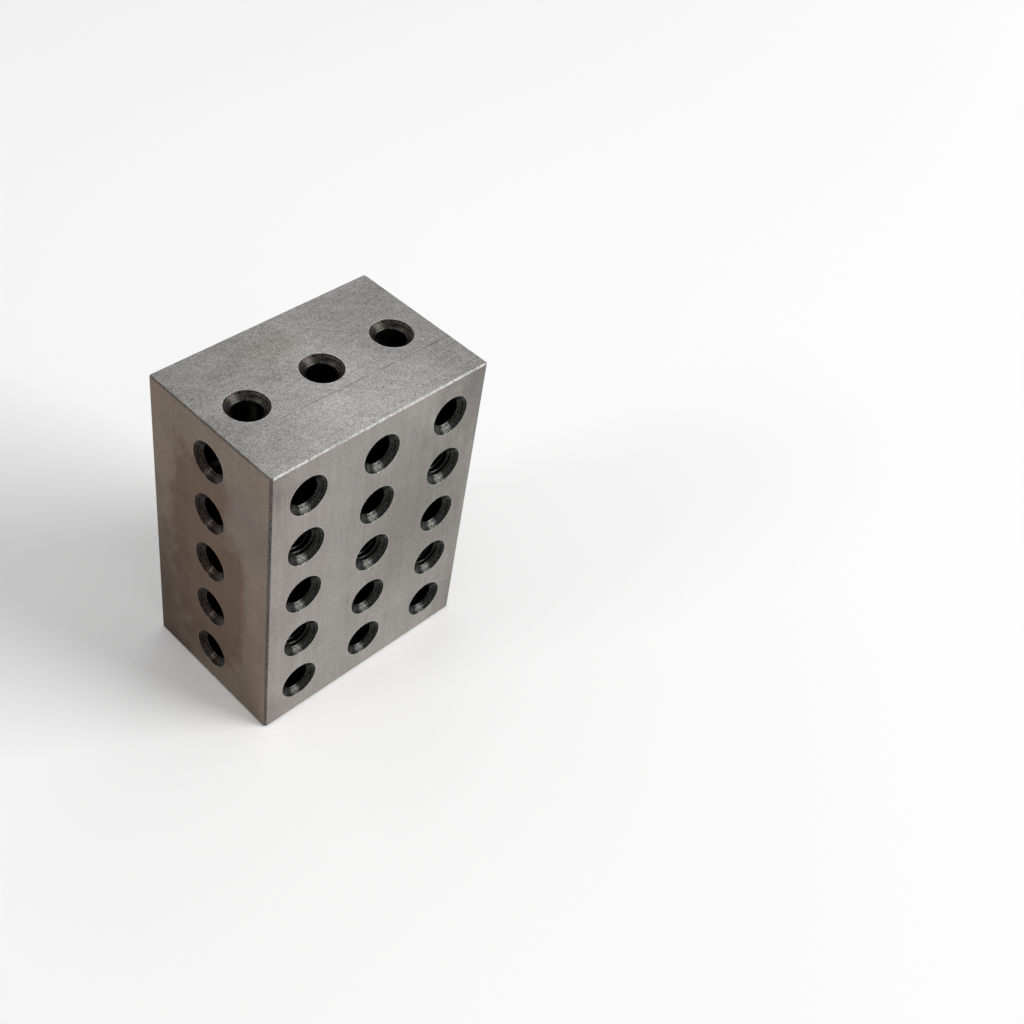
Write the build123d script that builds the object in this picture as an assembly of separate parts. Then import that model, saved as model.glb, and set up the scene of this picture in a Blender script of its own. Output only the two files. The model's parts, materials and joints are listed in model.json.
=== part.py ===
from build123d import *
import os
from math import radians, tan

# Machinist setup block: one piece of ground steel, drilled through in three directions.
# Frame: origin at the middle of the bottom face, X across the width, Y through the depth, Z up.
# Lengths are in millimetres and angles in degrees.

# Driving dimensions
width = 76.2  # along X, 3 in
depth = 50.8  # along Y, 2 in
height = 101.6  # along Z, 4 in
upright_bevel = 0.65  # leg of the bevel on the four upright edges
end_bevel = 0.45  # leg of the bevel on the edges of the top and bottom faces
hole_columns = 3  # holes across the width
hole_rows = 5  # holes up the height
edge_distance = 12.7  # from the side and end faces to the axes of the outermost holes
bore_diameter = 8.73  # plain holes, 11/32 in, which clear a 5/16 in bolt
thread_diameter = 9.525  # tapped holes, bored to the outside of a 3/8 in thread
countersink_margin = 1.5875  # from the wall of the largest bore out to the countersink's 1/2 in rim
countersink_angle = 90.0  # full angle of the cone
cutter_overrun = 1.0  # how far a drill runs past the face that it starts from

# Derived values
column_pitch = (width - 2 * edge_distance) / (hole_columns - 1)
row_pitch = (height - 2 * edge_distance) / (hole_rows - 1)
columns = [(column - (hole_columns - 1) / 2) * column_pitch for column in range(hole_columns)]
rows = [edge_distance + row * row_pitch for row in range(hole_rows)]
rim_radius = max(bore_diameter, thread_diameter) / 2 + countersink_margin
cone_slope = tan(radians(countersink_angle / 2))


def is_tapped(column, row):
    """The tapped holes stand like the five on a die, clear of the top and bottom rows."""
    return 0 < row < hole_rows - 1 and (column + row) % 2 == 1


def countersunk_drill(length, diameter):
    """A bore along Z through a length of steel, centred, with a cone at each mouth."""
    bore_radius = diameter / 2
    mouth = length / 2
    cone_foot = mouth - (rim_radius - bore_radius) / cone_slope
    drill_end = mouth + cutter_overrun
    end_radius = rim_radius + cutter_overrun * cone_slope
    outline = Polyline(
        (0, -drill_end),
        (end_radius, -drill_end),
        (bore_radius, -cone_foot),
        (bore_radius, cone_foot),
        (end_radius, drill_end),
        (0, drill_end),
        close=True,
    )
    return revolve(Plane.XZ * make_face(outline), Axis.Z)


def depth_drills():
    """The holes through the broad faces: tapped ones among plain ones, on the full grid."""
    drills = []
    for column, x in enumerate(columns):
        for row, z in enumerate(rows):
            diameter = thread_diameter if is_tapped(column, row) else bore_diameter
            drills.append(Pos(x, 0, z) * Rot(90, 0, 0) * countersunk_drill(depth, diameter))
    return drills


def width_drills():
    """One plain hole along X for each row, half-way through the depth."""
    return [Pos(0, 0, z) * Rot(0, 90, 0) * countersunk_drill(width, bore_diameter) for z in rows]


def height_drills():
    """One plain hole along Z for each column, half-way through the depth."""
    return [Pos(x, 0, height / 2) * countersunk_drill(height, bore_diameter) for x in columns]


def setup_block():
    """The bevelled block with every hole drilled through it."""
    blank = Box(width, depth, height, align=(Align.CENTER, Align.CENTER, Align.MIN))
    blank = chamfer(blank.edges().filter_by(Axis.Z), length=upright_bevel)
    ends = blank.faces().filter_by(Axis.Z)
    blank = chamfer(ends.edges(), length=end_bevel)
    return blank - (depth_drills() + width_drills() + height_drills())


os.makedirs("parts", exist_ok=True)
export_step(setup_block(), "parts/setup_block.step")
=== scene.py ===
import json
from math import cos, pi, radians, sin, sqrt, tan

import bmesh
import bpy
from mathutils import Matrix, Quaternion, Vector


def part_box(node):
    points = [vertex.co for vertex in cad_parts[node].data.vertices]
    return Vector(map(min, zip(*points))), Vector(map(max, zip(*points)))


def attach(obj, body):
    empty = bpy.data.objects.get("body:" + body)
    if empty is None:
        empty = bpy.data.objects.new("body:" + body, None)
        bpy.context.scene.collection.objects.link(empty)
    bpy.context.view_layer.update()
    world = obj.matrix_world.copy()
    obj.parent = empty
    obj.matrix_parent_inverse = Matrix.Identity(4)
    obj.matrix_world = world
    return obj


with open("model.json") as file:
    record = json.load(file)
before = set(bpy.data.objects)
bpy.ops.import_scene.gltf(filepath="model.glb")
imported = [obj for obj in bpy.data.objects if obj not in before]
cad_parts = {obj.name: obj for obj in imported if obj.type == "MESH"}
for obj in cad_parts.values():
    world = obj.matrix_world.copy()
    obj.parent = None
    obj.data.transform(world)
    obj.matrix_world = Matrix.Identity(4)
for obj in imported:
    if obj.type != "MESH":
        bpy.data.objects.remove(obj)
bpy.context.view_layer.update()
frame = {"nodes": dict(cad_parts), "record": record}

# The scene is in metres. Sizes and places below are in millimetres.
MM = 0.001

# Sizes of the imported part
block_low, block_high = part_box("setup_block")
half_width = (block_high.x - block_low.x) / 2 / MM
half_depth = (block_high.y - block_low.y) / 2 / MM
half_height = (block_high.z - block_low.z) / 2 / MM
mounts = {mount["name"]: mount for mount in frame["record"]["mounts"]}
corner_spacing = mounts["plain_corners"]["dims"]
column_pitch = corner_spacing["spacing_x_mm"] / 2  # the corner holes are two columns apart
row_pitch = corner_spacing["spacing_y_mm"] / 4  # and four rows
bore_radius = mounts["end_centre"]["dims"]["r_mm"]
thread_root_radius = mounts["tapped_centre"]["dims"]["r_mm"]
upright_bevel = 0.65  # leg of the bevel on the upright edges
end_bevel = 0.45  # leg of the bevel on the edges of the top and bottom faces
countersink_margin = 1.5875  # from the thread's outside to the countersink's rim
rim_radius = thread_root_radius + countersink_margin
cone_depth = rim_radius - bore_radius  # the cone stands at 45 degrees
touch = 0.01  # how close to a face or a bevel counts as on it

# Threads of the tapped holes, 3/8 in with 16 turns to the inch
thread_pitch = 25.4 / 16
thread_crest_radius = 3.97  # inside of the thread
thread_half_angle = radians(30)
root_flat = thread_pitch / 8
crest_bevel = 0.12  # leg of the 45 degree bevel on both edges of the crest
flank_length = (thread_root_radius - thread_crest_radius - crest_bevel) * tan(thread_half_angle)
sleeve_wall = 0.14  # how far the threaded sleeve reaches into the steel
sleeve_radius = thread_root_radius + sleeve_wall
cross_bore_clearance = 0.1  # from the cross bores to the ends of the sleeves
turn_steps = 48  # columns of points round one turn
profile_rows = 2  # rows of points on each flank, bevel, crest and root
sharp_edge = radians(12)  # edges that turn by more than this aren't shaded smooth
weld_distance = 0.0002  # points nearer than this are made one


# Materials
class Field:
    """A value that varies over a surface: arithmetic on it adds nodes to its material."""

    def __init__(self, tree, socket):
        self.tree = tree
        self.socket = socket

    def math(self, operation, *others):
        node = self.tree.nodes.new("ShaderNodeMath")
        node.operation = operation
        for place, value in enumerate((self, *others)):
            feed(self.tree, node.inputs[place], value)
        return Field(self.tree, node.outputs[0])

    def __add__(self, other):
        return self.math("ADD", other)

    def __sub__(self, other):
        return self.math("SUBTRACT", other)

    def __mul__(self, other):
        return self.math("MULTIPLY", other)

    def __truediv__(self, other):
        return self.math("DIVIDE", other)

    def __abs__(self):
        return self.math("ABSOLUTE")

    def rest(self, whole=1.0):
        """What is left of a whole when this is taken away."""
        return self.math("MULTIPLY_ADD", -1.0, whole)

    def least(self, other):
        return self.math("MINIMUM", other)

    def most(self, other):
        return self.math("MAXIMUM", other)

    def below(self, limit):
        return self.math("LESS_THAN", limit)

    def above(self, limit):
        return self.math("GREATER_THAN", limit)

    def from_nearest(self, pitch):
        """Signed distance to the nearest multiple of a pitch."""
        return self.math("WRAP", pitch / 2, -pitch / 2)

    def across(self, other):
        """Length of the diagonal of two distances at right angles."""
        return (self * self + other * other).math("SQRT")

    def toward(self, other, share):
        """This value where share is 0, and the other where it is 1."""
        return self + share * (other - self)

    def factor(self, change):
        """A factor of 1 where this is 0, changed by a share where this is 1."""
        return self * change + 1.0

    def ramp(self, start, end):
        """0 at start and 1 at end, smooth between."""
        node = self.tree.nodes.new("ShaderNodeMapRange")
        node.interpolation_type = "SMOOTHSTEP"
        feed(self.tree, node.inputs["Value"], self)
        node.inputs["From Min"].default_value = start
        node.inputs["From Max"].default_value = end
        return Field(self.tree, node.outputs["Result"])


def feed(tree, socket, value):
    """Links a field to a socket, or sets a constant on it."""
    if isinstance(value, Field):
        tree.links.new(value.socket, socket)
    else:
        socket.default_value = value


def new_material(name):
    """A new material, its node tree and its shader."""
    material = bpy.data.materials.new(name)
    material.use_nodes = True
    return material, material.node_tree, material.node_tree.nodes["Principled BSDF"]


def places(tree):
    """The object's own x, y and z in millimetres."""
    coordinates = tree.nodes.new("ShaderNodeTexCoord")
    split = tree.nodes.new("ShaderNodeSeparateXYZ")
    tree.links.new(coordinates.outputs["Object"], split.inputs[0])
    return [Field(tree, output) / MM for output in split.outputs]


def noise(where, size, detail=2.0, roughness=0.5):
    """Cloudy noise about zero over three coordinates. A feature is about as wide as its size."""
    tree = where[0].tree
    sizes = size if isinstance(size, tuple) else (size, size, size)
    vector = tree.nodes.new("ShaderNodeCombineXYZ")
    for socket, coordinate, width in zip(vector.inputs, where, sizes):
        feed(tree, socket, coordinate / width)
    node = tree.nodes.new("ShaderNodeTexNoise")
    tree.links.new(vector.outputs[0], node.inputs["Vector"])
    node.inputs["Scale"].default_value = 1.0
    node.inputs["Detail"].default_value = detail
    node.inputs["Roughness"].default_value = roughness
    return Field(tree, node.outputs[0]) - 0.5


def blend(share, first, second):
    """The first colour where share is 0, and the second where it is 1."""
    node = share.tree.nodes.new("ShaderNodeMix")
    node.data_type = "RGBA"  # its colours are inputs 6 and 7, and output 2
    feed(share.tree, node.inputs[0], share)
    for socket, colour in ((node.inputs[6], first), (node.inputs[7], second)):
        feed(share.tree, socket, colour if isinstance(colour, Field) else (*colour, 1.0))
    return Field(share.tree, node.outputs[2])


def shaded(colour, level):
    """A colour made darker or lighter by a level."""
    node = level.tree.nodes.new("ShaderNodeVectorMath")
    node.operation = "SCALE"
    feed(level.tree, node.inputs[0], colour)
    feed(level.tree, node.inputs["Scale"], level)
    return Field(level.tree, node.outputs[0])


def bumped(shader, height, depth):
    """Raises the surface by up to a depth in millimetres where height is 1."""
    node = height.tree.nodes.new("ShaderNodeBump")
    node.inputs["Distance"].default_value = depth * MM
    feed(height.tree, node.inputs["Height"], height)
    height.tree.links.new(node.outputs["Normal"], shader.inputs["Normal"])


def patch(across, up, place, wobble, softness):
    """1 within an uneven patch, a rectangle with round corners, and 0 outside it."""
    middle, reach = place
    aside = (across - middle[0]) / reach[0]
    above = (up - middle[1]) / reach[1]
    distance = (aside * aside).across(above * above).math("SQRT")
    return (distance + wobble).ramp(1 + softness, 1 - softness)


# Tints of the end faces, of the broad front and back faces, and of the narrow sides
END_TINT = (0.232, 0.230, 0.222)
# Painted shade: the top is darker toward its right back
END_PAINTED_SHADE = (0.180, 0.178, 0.171)
END_RUST = (0.176, 0.154, 0.122)
FRONT_TINT = (0.322, 0.301, 0.284)
FRONT_FLUSH = (0.318, 0.284, 0.271)
# Painted shade: a darker patch at the upper right of the front
FRONT_PAINTED_SHADE = (0.240, 0.225, 0.208)
# Painted shade: darker corners of the front
FRONT_CORNER_SHADE = (0.186, 0.174, 0.161)
# Painted light: a lighter patch low in the middle of the front
FRONT_PAINTED_LIGHT = (0.356, 0.334, 0.314)
SIDE_TINT = (0.270, 0.248, 0.230)
# Brown film on the left side, made darker than the right side as painted shade too
SIDE_FILM_AND_SHADE = (0.203, 0.171, 0.149)
SIDE_STAIN = (0.134, 0.098, 0.083)
SIDE_BARE = (0.178, 0.161, 0.152)
# Painted shade: a dark patch low at the back of the left side
SIDE_PAINTED_SHADE = (0.064, 0.052, 0.058)

# Tints of reflections at a low angle, on bare steel and on the left side's brown film
STEEL_GLANCE = (1.0, 1.0, 1.0)
FILM_GLANCE = (1.0, 0.85, 0.70)

# Tints of the dark scale, which grinding leaves on the bevels and in the holes
BEVEL_TINT = (0.080, 0.078, 0.075)
LEFT_BEVEL = (0.095, 0.081, 0.0725)  # under the brown film
END_CONE = (0.027, 0.025, 0.0225)
FRONT_CONE = (0.0175, 0.0175, 0.0165)
LEFT_CONE = (0.018, 0.0145, 0.0125)
BORE_TINT = (0.016, 0.016, 0.015)
THREAD_TINT = (0.0145, 0.0145, 0.0135)

# Patches on the faces: the middle of each, and its reach to either side, across the face and up it
top_rust = ((-5.0, 15.0), (7.5, 4.5))
# Painted shade at the top's right back
top_painted_shade = ((33.0, 1.0), (20.0, 28.0))
# Painted shade at the upper right of the front
front_painted_shade = ((20.0, 58.0), (20.0, 26.0))
# Painted light low in the middle of the front
front_painted_light = ((-4.0, 8.0), (32.0, 36.0))
# Painted shade in the four corners of the front
front_corner_shades = (
    ((42.0, 104.0), (16.0, 22.0)),
    ((46.0, -2.0), (11.0, 20.0)),
    ((-46.0, 106.0), (11.0, 18.0)),
    ((-46.0, -4.0), (9.0, 12.0)),
)
front_flush_edges = (-18.0, -34.0)  # the x at which the flush starts, and is full
side_stain = ((1.0, 50.0), (16.0, 38.0))
side_bare = ((-16.0, 77.0), (8.0, 12.0))
# Painted shade low at the back of the left side
side_shade_patch = ((27.0, 4.0), (17.0, 42.0))

# The long scratch on the top
scratch_middle = -9.6  # its y at the middle of the block
scratch_slope = -0.021  # the y that it gains for each x
scratch_left_end = -27.0
scratch_edges = (0.24, 0.06)  # how far from its line it starts, and is at its darkest

# Fine marks
# The burr is a lighter ring round each rim, partly a real burnished lip and partly a painted highlight
burr_and_glint_edges = (0.24, 0.05)  # how far out from a hole's rim the burr starts, and is full
mark_depth = 0.012
thread_wear_depth = 0.03
darkest = 0.15  # the least level of the dark scale


class BlockSurface:
    """Where a point of the block lies, and the noises that its finishes share."""

    def __init__(self, tree):
        self.tree = tree
        self.x, self.y, self.z = places(tree)
        self.where = (self.x, self.y, self.z)
        self.up = self.z - half_height
        self.find_face()
        self.find_hole()
        self.make_noises()

    def find_face(self):
        """How far in from the nearest face the point is, and which face, bevel or hole it is on."""
        self.on_left = self.x.below(0.0)
        self.on_front = self.y.below(0.0)
        self.on_top = self.up.above(0.0)
        from_side = abs(self.x).rest(half_width)
        from_front = abs(self.y).rest(half_depth)
        from_end = abs(self.up).rest(half_height)
        self.inset = from_side.least(from_front).least(from_end)
        on_upright_bevel = (from_side + from_front).below(upright_bevel + touch)
        on_end_bevel = (from_end + from_side.least(from_front)).below(end_bevel + touch)
        # The corner facets join the bevels: they cut the upright bevel's edge as end bevels do
        from_upright_bevel = (from_side + from_front - upright_bevel) * sqrt(0.5)
        on_corner = (from_end + from_upright_bevel).below(end_bevel + touch)
        self.on_bevel = on_upright_bevel.most(on_end_bevel).most(on_corner)
        self.on_left_bevel = self.on_bevel * self.on_left * from_side.below(upright_bevel + touch)
        self.on_face = self.inset.below(touch) * self.on_bevel.rest()
        self.in_bore = self.inset.above(cone_depth)
        self.near_side = from_side.below(from_front.least(from_end))
        self.near_end = from_end.below(from_front.least(from_side))
        self.near_front = self.near_side.most(self.near_end).rest()

    def find_hole(self):
        """Place around the nearest hole, as a distance from its axis, a direction and a depth."""
        across = self.x.from_nearest(column_pitch).toward(self.y, self.near_side)
        along = self.up.from_nearest(row_pitch).toward(self.y, self.near_end)
        self.radius = across.across(along)
        self.around = (across / self.radius, along / self.radius, self.inset)

    def make_noises(self):
        """Grain, grinding lines, marks of the countersink, and nicks."""
        self.mottle = noise(self.where, (0.67, 0.53, 0.77), detail=3.0, roughness=0.6)
        self.grain = noise(self.where, 0.25, roughness=0.6)
        self.cloud = noise(self.where, 11.0)
        self.line = noise(self.where, (0.2, 0.2, 14.0), roughness=0.6)
        self.streak = noise(self.where, (2.5, 2.5, 83.0), detail=1.0)
        self.wobble = noise(self.where, 6.2, detail=3.0, roughness=0.55) * 1.1
        self.ring = noise(self.around, (1.3, 1.3, 0.19), roughness=0.6)
        self.chatter = noise(self.around, (0.083, 0.083, 1.1), roughness=0.6)
        self.nick = noise(self.where, 0.48, detail=3.0, roughness=0.65)


# Finishes. A level is a factor on a colour: 1, plus each noise times how strongly it shows.
def end_finish(surface):
    """Colour of the end faces: a mottled grain, wiped and scratched, with rust and painted shade at
    the right back on the top.
    """
    x, y, z = surface.where
    flock = noise(surface.where, 2.0)
    wipe = noise((x + y, x - y, z), (1.1, 17.0, 1.0))
    drag = noise(surface.where, (10.0, 0.38, 1.0))
    level = surface.mottle * 1.55 + surface.grain * 2.0 + surface.cloud * 0.45 + 1.0
    level = level + flock * 0.4 + wipe * 0.4 + drag * 0.5

    from_scratch = y - (x * scratch_slope + scratch_middle)
    wear = noise(surface.where, (4.5, 1.0, 1.0), detail=3.0, roughness=0.7).ramp(-0.16, 0.12)
    scratch = abs(from_scratch + surface.grain * 0.4).ramp(*scratch_edges) * wear
    scratch = scratch * surface.on_top * x.above(scratch_left_end)
    level = level * scratch.factor(-0.6)

    rust_wobble = noise(surface.where, 1.7, detail=3.0, roughness=0.6) * 0.9
    rust = patch(x, y, top_rust, rust_wobble, softness=0.7) * surface.on_top
    # Painted shade toward the top's right back
    painted_shade = patch(x, y, top_painted_shade, surface.wobble, softness=0.8) * surface.on_top
    colour = blend(painted_shade, END_TINT, END_PAINTED_SHADE)
    return shaded(blend(rust * 0.45, colour, END_RUST), level)


def front_finish(surface):
    """Colour of the broad faces: flushed along one edge, with painted light low in the middle in
    front, and painted shade at its upper right and in its corners.
    """
    x, _, z = surface.where
    flush = (x + surface.streak * 40.0).ramp(*front_flush_edges)
    colour = blend(flush, FRONT_TINT, FRONT_FLUSH)
    # Painted light low in the middle of the front
    painted_light = patch(x, z, front_painted_light, surface.wobble, softness=0.7)
    colour = blend(painted_light * surface.on_front, colour, FRONT_PAINTED_LIGHT)
    # Painted shade at the upper right of the front
    painted_shade = patch(x, z, front_painted_shade, surface.wobble, softness=0.8)
    colour = blend(painted_shade * surface.on_front, colour, FRONT_PAINTED_SHADE)
    # Painted shade in the corners of the front
    for place in front_corner_shades:
        corner_shade = patch(x, z, place, surface.wobble, softness=0.8)
        colour = blend(corner_shade * surface.on_front, colour, FRONT_CORNER_SHADE)
    return colour


def side_finish(surface):
    """Colour of the narrow sides, the left one under a brown film that is darkened further as painted
    shade, with a stain and painted shade low at the back in it.
    """
    _, y, z = surface.where
    stain = patch(y, z, side_stain, surface.wobble * 0.5, softness=0.12)
    bare = patch(y, z, side_bare, surface.wobble, softness=0.4)
    # Painted shade low at the back of the left side
    low_back_shade = patch(y, z, side_shade_patch, surface.wobble, softness=0.75)
    # The left side's brown film, partly painted shade
    film_and_shade = blend(stain, SIDE_FILM_AND_SHADE, SIDE_STAIN)
    film_and_shade = blend(bare, film_and_shade, SIDE_BARE)
    film_and_shade = blend(low_back_shade, film_and_shade, SIDE_PAINTED_SHADE)
    return blend(surface.on_left, SIDE_TINT, film_and_shade)


def upright_finish(surface):
    """Colour of the four upright faces, with grinding lines and small dark pits."""
    lines = surface.line * 0.65 + surface.streak * 0.2
    specks = surface.cloud * 0.33 + surface.grain + surface.mottle * 0.55
    level = lines * surface.near_side.factor(-0.4) + specks * surface.near_side.factor(0.3) + 1.0
    pit = noise(surface.where, 0.9, detail=1.0).above(0.262)
    colour = blend(surface.near_side, front_finish(surface), side_finish(surface))
    return shaded(colour, level * pit.factor(-0.22))


def scale_finish(surface):
    """Colour of the bevels and holes, where dark scale is left, with turning marks in the holes."""
    hole_level = surface.ring * 5.5 + surface.chatter * 3.2 + 1.05
    bevel_level = surface.nick * 3.6 + surface.cloud * 0.8 + 1.0
    level = hole_level.toward(bevel_level, surface.on_bevel).most(darkest)
    cone = blend(surface.near_side * surface.on_left, FRONT_CONE, LEFT_CONE)
    cone = blend(surface.near_end, cone, END_CONE)
    hole = blend(surface.in_bore, cone, BORE_TINT)
    bevel = blend(surface.on_left_bevel, BEVEL_TINT, LEFT_BEVEL)
    return shaded(blend(surface.on_bevel, hole, bevel), level)


def tool_marks(surface, shader):
    """Spreads reflections across the turning marks of the holes and the upright grinding lines."""
    tree = surface.tree
    on_face = surface.on_face
    spread = tree.nodes.new("ShaderNodeCombineXYZ")
    feed(tree, spread.inputs["X"], surface.near_side.toward(surface.near_side.rest(), on_face))
    feed(tree, spread.inputs["Y"], surface.near_front.toward(surface.near_side, on_face))
    feed(tree, spread.inputs["Z"], surface.near_end * on_face.rest())
    tree.links.new(spread.outputs[0], shader.inputs["Tangent"])
    hole_marks = surface.on_bevel.rest() * 0.3
    feed(tree, shader.inputs["Anisotropic"], hole_marks.toward(surface.near_end.rest() * 0.4, on_face))


def gloss(surface):
    """Roughness of the faces, holes and bevels."""
    face = surface.mottle * 0.12 + surface.near_end * -0.04 + 0.36
    hole = surface.ring * 0.25 + surface.near_end * 0.13 + 0.22
    bevel = surface.nick * 0.2 + 0.34
    return hole.toward(bevel, surface.on_bevel).toward(face, surface.on_face)


def relief(surface):
    """Height of the fine marks on the faces, holes and bevels."""
    end = surface.mottle * 0.7 + surface.grain * 0.3
    face = (surface.line * 0.5).toward(end, surface.near_end)
    hole = surface.ring * 4.0 + surface.chatter * 2.0
    scale = hole.toward(surface.nick * 2.0, surface.on_bevel)
    return scale.toward(face, surface.on_face)


def ground_steel():
    """Ground faces, with dark scale left on the bevels and in the holes."""
    material, tree, shader = new_material("ground_steel")
    surface = BlockSurface(tree)
    face = blend(surface.near_end, upright_finish(surface), end_finish(surface))
    # A lighter ring round each hole's rim: a burnished burr, partly a painted highlight where the rim
    # catches light
    burr_and_glint = (surface.radius - rim_radius).ramp(*burr_and_glint_edges) * (surface.grain * 2.0 + 0.35)
    face = shaded(face, burr_and_glint + 1.0)
    on_film = surface.on_left * surface.near_side * surface.on_face
    shader.inputs["Metallic"].default_value = 1.0
    feed(tree, shader.inputs["Base Color"], blend(surface.on_face, scale_finish(surface), face))
    feed(tree, shader.inputs["Specular Tint"], blend(on_film, STEEL_GLANCE, FILM_GLANCE))
    feed(tree, shader.inputs["Roughness"], gloss(surface))
    tool_marks(surface, shader)
    bumped(shader, relief(surface), mark_depth)
    return material


def thread_steel():
    """Dark cut steel with fine wear along the thread."""
    material, tree, shader = new_material("thread_steel")
    wear = noise(places(tree), (0.83, 0.2, 0.83), detail=3.0, roughness=0.6)
    level = wear * 4.0 + 1.0
    shader.inputs["Metallic"].default_value = 1.0
    feed(tree, shader.inputs["Base Color"], shaded(THREAD_TINT, level.most(darkest)))
    feed(tree, shader.inputs["Roughness"], wear * 0.3 + 0.24)
    bumped(shader, wear, thread_wear_depth)
    return material


block = frame["nodes"]["setup_block"]
block.data.materials.clear()
block.data.materials.append(ground_steel())


# Threads in the tapped holes
def profile_radius(advance):
    """Radius of the thread at an advance along the axis, with a root at each whole pitch."""
    from_root = abs((advance + thread_pitch / 2) % thread_pitch - thread_pitch / 2)
    past_root = max(from_root - root_flat / 2, 0.0)
    flank = thread_root_radius - past_root / tan(thread_half_angle)
    bevel = thread_crest_radius + crest_bevel - (past_root - flank_length)
    return max(flank, bevel, thread_crest_radius)


def wall_radius(place, turn):
    """Radius of the threaded wall, opened out where the countersink's cone cuts it."""
    cone = rim_radius - (half_depth - abs(place))
    return max(profile_radius(place - turn * thread_pitch), cone)


def profile_steps():
    """Advances within one pitch at which the wall has a row of points."""
    flank_end = root_flat / 2 + flank_length
    corners = [root_flat / 2, flank_end, flank_end + crest_bevel]
    corners += [thread_pitch - corner_shade for corner_shade in reversed(corners)]
    corners.append(thread_pitch + corners[0])
    steps = []
    for start, end in zip(corners, corners[1:]):
        steps += [start + (end - start) * row / profile_rows for row in range(profile_rows)]
    return steps


def sleeve(mesh, axis, near, far):
    """Adds a closed threaded sleeve that runs along Y from near to far."""
    def point(radius, place, column):
        angle = 2 * pi * column / turn_steps
        across = axis[0] + radius * sin(angle)
        up = axis[1] + radius * cos(angle)
        return mesh.verts.new(Vector((across, place, up)) * MM)

    # The threaded inside: columns of points that follow the helix and stop at both ends
    first_pitch = int(near // thread_pitch) - 2
    last_pitch = int(far // thread_pitch) + 1
    pitches = range(first_pitch, last_pitch + 1)
    advances = [pitch * thread_pitch + step for pitch in pitches for step in profile_steps()]
    columns = []
    for column in range(turn_steps + 1):
        turn = column / turn_steps
        rows = [min(max(advance + turn * thread_pitch, near), far) for advance in advances]
        columns.append([(place, point(wall_radius(place, turn), place, column)) for place in rows])
    for left, right in zip(columns, columns[1:]):
        for row in range(len(advances) - 1):
            corners = [left[row], right[row], right[row + 1], left[row + 1]]
            if len({place for place, _ in corners}) > 1:
                mesh.faces.new([vert for _, vert in corners])

    # The plain outside and both end rings
    for column in range(turn_steps):
        turns = (column, column + 1)
        rings = []
        for place, outside in ((near, False), (near, True), (far, True), (far, False)):
            ring = []
            for turn in turns:
                radius = sleeve_radius if outside else wall_radius(place, turn / turn_steps)
                ring.append(point(radius, place, turn))
            rings.append(ring)
        for first, second in zip(rings, rings[1:]):
            mesh.faces.new([first[0], first[1], second[1], second[0]])


def tapped_thread(name, axis, material):
    """One tapped hole's thread, in two runs parted by the cross bores."""
    cone_foot = half_depth - (rim_radius - thread_root_radius)
    inner_end = bore_radius + cross_bore_clearance
    mesh = bmesh.new()
    sleeve(mesh, axis, -cone_foot, -inner_end)
    sleeve(mesh, axis, inner_end, cone_foot)
    bmesh.ops.remove_doubles(mesh, verts=mesh.verts, dist=weld_distance * MM)
    bmesh.ops.recalc_face_normals(mesh, faces=mesh.faces)
    data = bpy.data.meshes.new(name)
    mesh.to_mesh(data)
    mesh.free()
    data.shade_smooth()
    data.set_sharp_from_angle(angle=sharp_edge)
    data.materials.append(material)
    piece = bpy.data.objects.new(name, data)
    bpy.context.scene.collection.objects.link(piece)
    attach(piece, "root")


thread_material = thread_steel()
tapped_axes = {
    "thread_lower_left": (-column_pitch, half_height - row_pitch),
    "thread_lower_right": (column_pitch, half_height - row_pitch),
    "thread_centre": (0.0, half_height),
    "thread_upper_left": (-column_pitch, half_height + row_pitch),
    "thread_upper_right": (column_pitch, half_height + row_pitch),
}
for name, axis in tapped_axes.items():
    tapped_thread(name, axis, thread_material)


# Floor, light and camera
floor_size = 5000.0
floor_drop = 0.05  # the floor lies just under the block, so that their faces don't fight
fill_strength = 0.54  # share of full white that the light from all round has on a dull surface
FLOOR_TINT = (0.96, 0.96, 0.96)


def pale_floor():
    """A plain pale floor without a shine."""
    material, _, shader = new_material("pale_floor")
    shader.inputs["Base Color"].default_value = (*FLOOR_TINT, 1.0)
    shader.inputs["Roughness"].default_value = 0.9
    shader.inputs["Specular IOR Level"].default_value = 0.0
    return material


def lay_floor():
    """A square floor under the block."""
    half = floor_size / 2
    outline = [(-half, -half), (half, -half), (half, half), (-half, half)]
    corners = [Vector((x, y, -floor_drop)) * MM for x, y in outline]
    mesh = bpy.data.meshes.new("floor")
    mesh.from_pydata(corners, [], [(0, 1, 2, 3)])
    mesh.materials.append(pale_floor())
    obj = bpy.data.objects.new("floor", mesh)
    bpy.context.scene.collection.objects.link(obj)


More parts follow.
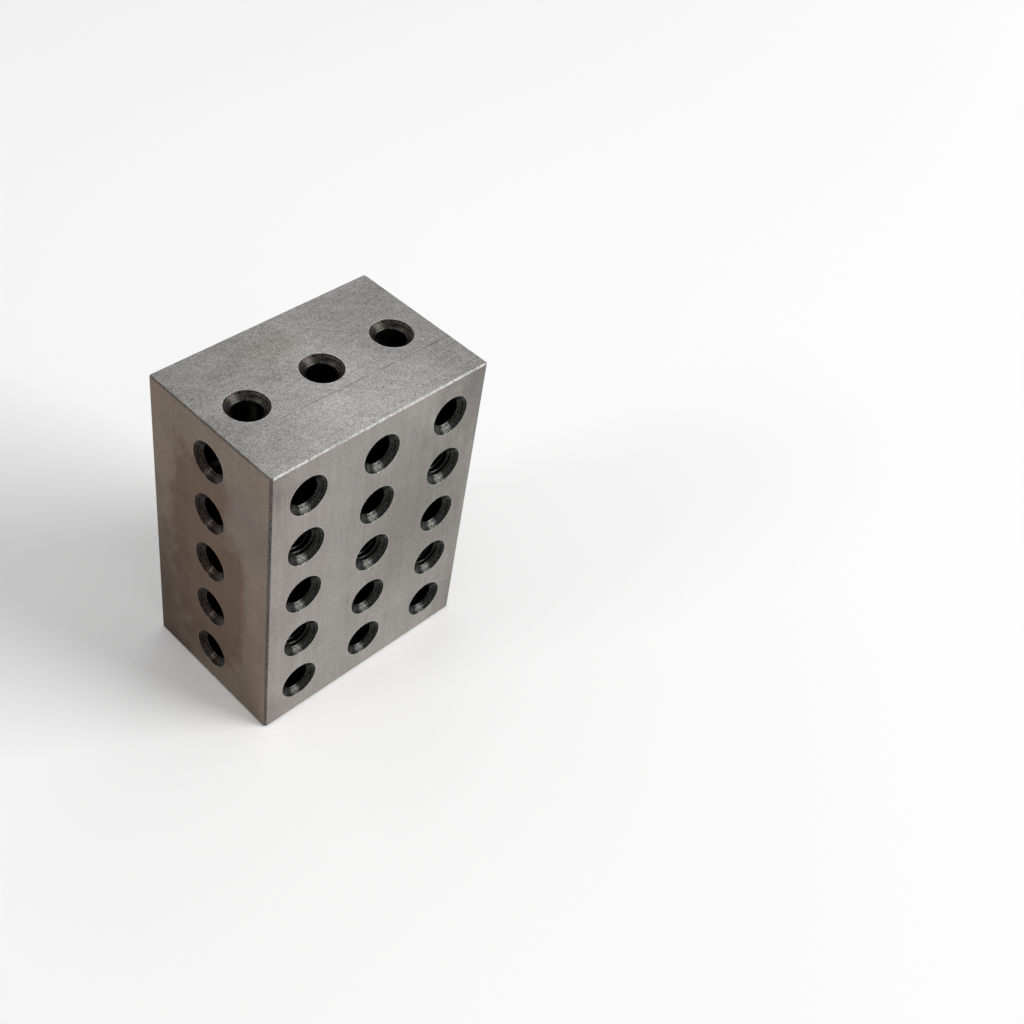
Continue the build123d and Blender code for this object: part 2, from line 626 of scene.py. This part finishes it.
def light_world():
    """Soft white light from all round, which looks full white itself, in mirrors too."""
    world = bpy.data.worlds.new("studio")
    world.use_nodes = True
    tree = world.node_tree
    background = tree.nodes["Background"]
    background.inputs["Color"].default_value = (1.0, 1.0, 1.0, 1.0)
    rays = tree.nodes.new("ShaderNodeLightPath")
    seen = Field(tree, rays.outputs["Is Camera Ray"])
    seen = seen.most(Field(tree, rays.outputs["Is Glossy Ray"]))
    seen = seen.most(Field(tree, rays.outputs["Is Transmission Ray"]))
    feed(tree, background.inputs["Strength"], seen * (1 - fill_strength) + fill_strength)
    bpy.context.scene.world = world


def softbox(name, way, distance, width, height, radiance, tilt=0.0):
    """A lamp in a direction from the middle of the block's top, turned toward it and tilted."""
    light = bpy.data.lights.new(name, "AREA")
    light.shape = "RECTANGLE"
    light.size = width * MM
    light.size_y = height * MM
    light.energy = radiance * pi * light.size * light.size_y  # the power of an even radiance
    obj = bpy.data.objects.new(name, light)
    bpy.context.scene.collection.objects.link(obj)
    way = Vector(way).normalized()
    obj.location = (Vector((0, 0, 2 * half_height)) + way * distance) * MM
    obj.rotation_mode = "QUATERNION"
    obj.rotation_quaternion = way.to_track_quat("Z", "Y") @ Quaternion((0, 0, 1), radians(tilt))
    obj.visible_camera = False


def set_camera(place, aim, roll, lens, shift_x):
    """The scene's camera at a place, aimed at a point and rolled about its own axis."""
    data = bpy.data.cameras.new("camera")
    data.sensor_width = 36.0
    data.lens = lens
    data.shift_x = shift_x
    data.clip_start = 10.0 * MM
    camera = bpy.data.objects.new("camera", data)
    bpy.context.scene.collection.objects.link(camera)
    camera.location = Vector(place) * MM
    camera.rotation_mode = "QUATERNION"
    ahead = (Vector(aim) - Vector(place)).to_track_quat("-Z", "Y")
    camera.rotation_quaternion = ahead @ Quaternion((0, 0, 1), radians(roll))
    bpy.context.scene.camera = camera


lay_floor()
light_world()
softbox(
    "key",
    way=(0.58, -0.68, 0.43),
    distance=4000.0,
    width=3000.0,
    height=700.0,
    radiance=22.0,
    tilt=-28.0,
)
softbox(
    "top_glow",
    way=(0.552, 0.445, 0.705),
    distance=340.0,
    width=90.0,
    height=90.0,
    radiance=1.75,
)
softbox(
    "side_glow",
    way=(-0.83, 0.22, 0.51),
    distance=3000.0,
    width=700.0,
    height=700.0,
    radiance=6.5,
)
set_camera(
    place=(-192.4, -208.3, 332.3),
    aim=(19.6, -20.2, 50.8),
    roll=7.34,
    lens=47.73,
    shift_x=0.1,
)
bpy.context.scene.view_settings.view_transform = "Standard"
